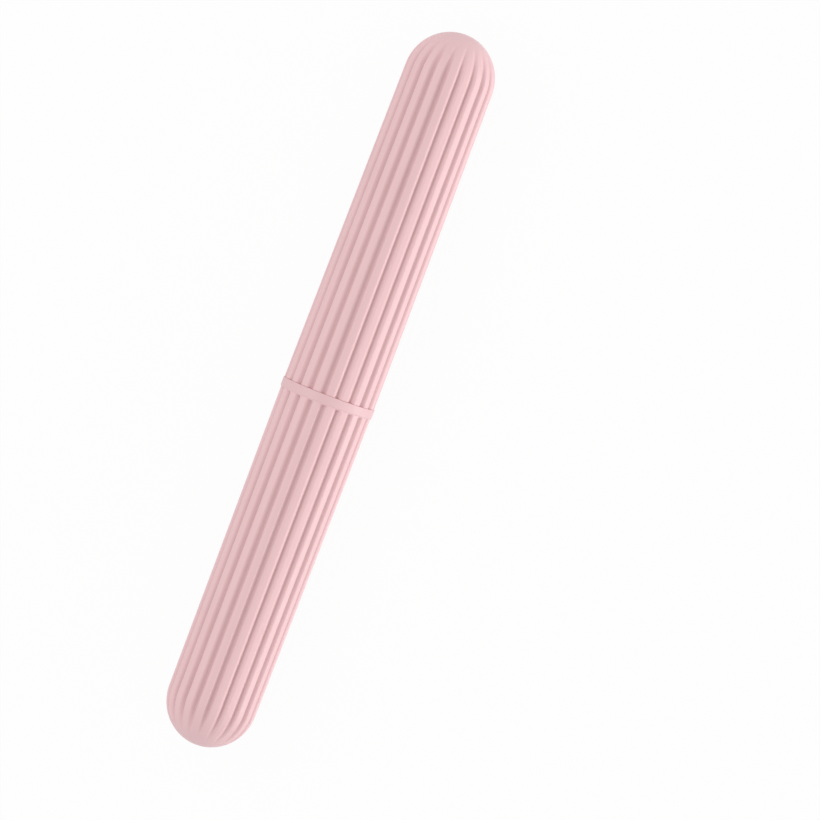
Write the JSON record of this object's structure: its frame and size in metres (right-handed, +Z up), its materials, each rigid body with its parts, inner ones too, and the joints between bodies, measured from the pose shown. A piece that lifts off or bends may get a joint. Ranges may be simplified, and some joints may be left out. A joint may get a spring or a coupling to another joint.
{
  "type": "toothbrush case",
  "caption": "Fluted round travel case for a toothbrush: a domed tube with a plain band and a neck, and a domed cap that pushes on.",
  "frame": {"origin": "middle of the case's length and width, at the lowest line of the band that it lies on", "axes": "+X along the case's axis from the body towards the cap, +Z up with the case lying on its side"},
  "size_m": [0.21, 0.0268, 0.0268],
  "materials": {
    "body_plastic": "satin moulded polypropylene, pale pink",
    "cap_plastic": "satin moulded polypropylene, pale pink"
  },
  "bodies": {
    "body": {"body_shell": "body_plastic"},
    "cap": {"cap_shell": "cap_plastic"}
  },
  "joints": [
    {"name": "cap_pull", "type": "slide", "parent": "body", "child": "cap", "axis": [1, 0, 0], "range_m": [0, 0.11]}
  ]
}
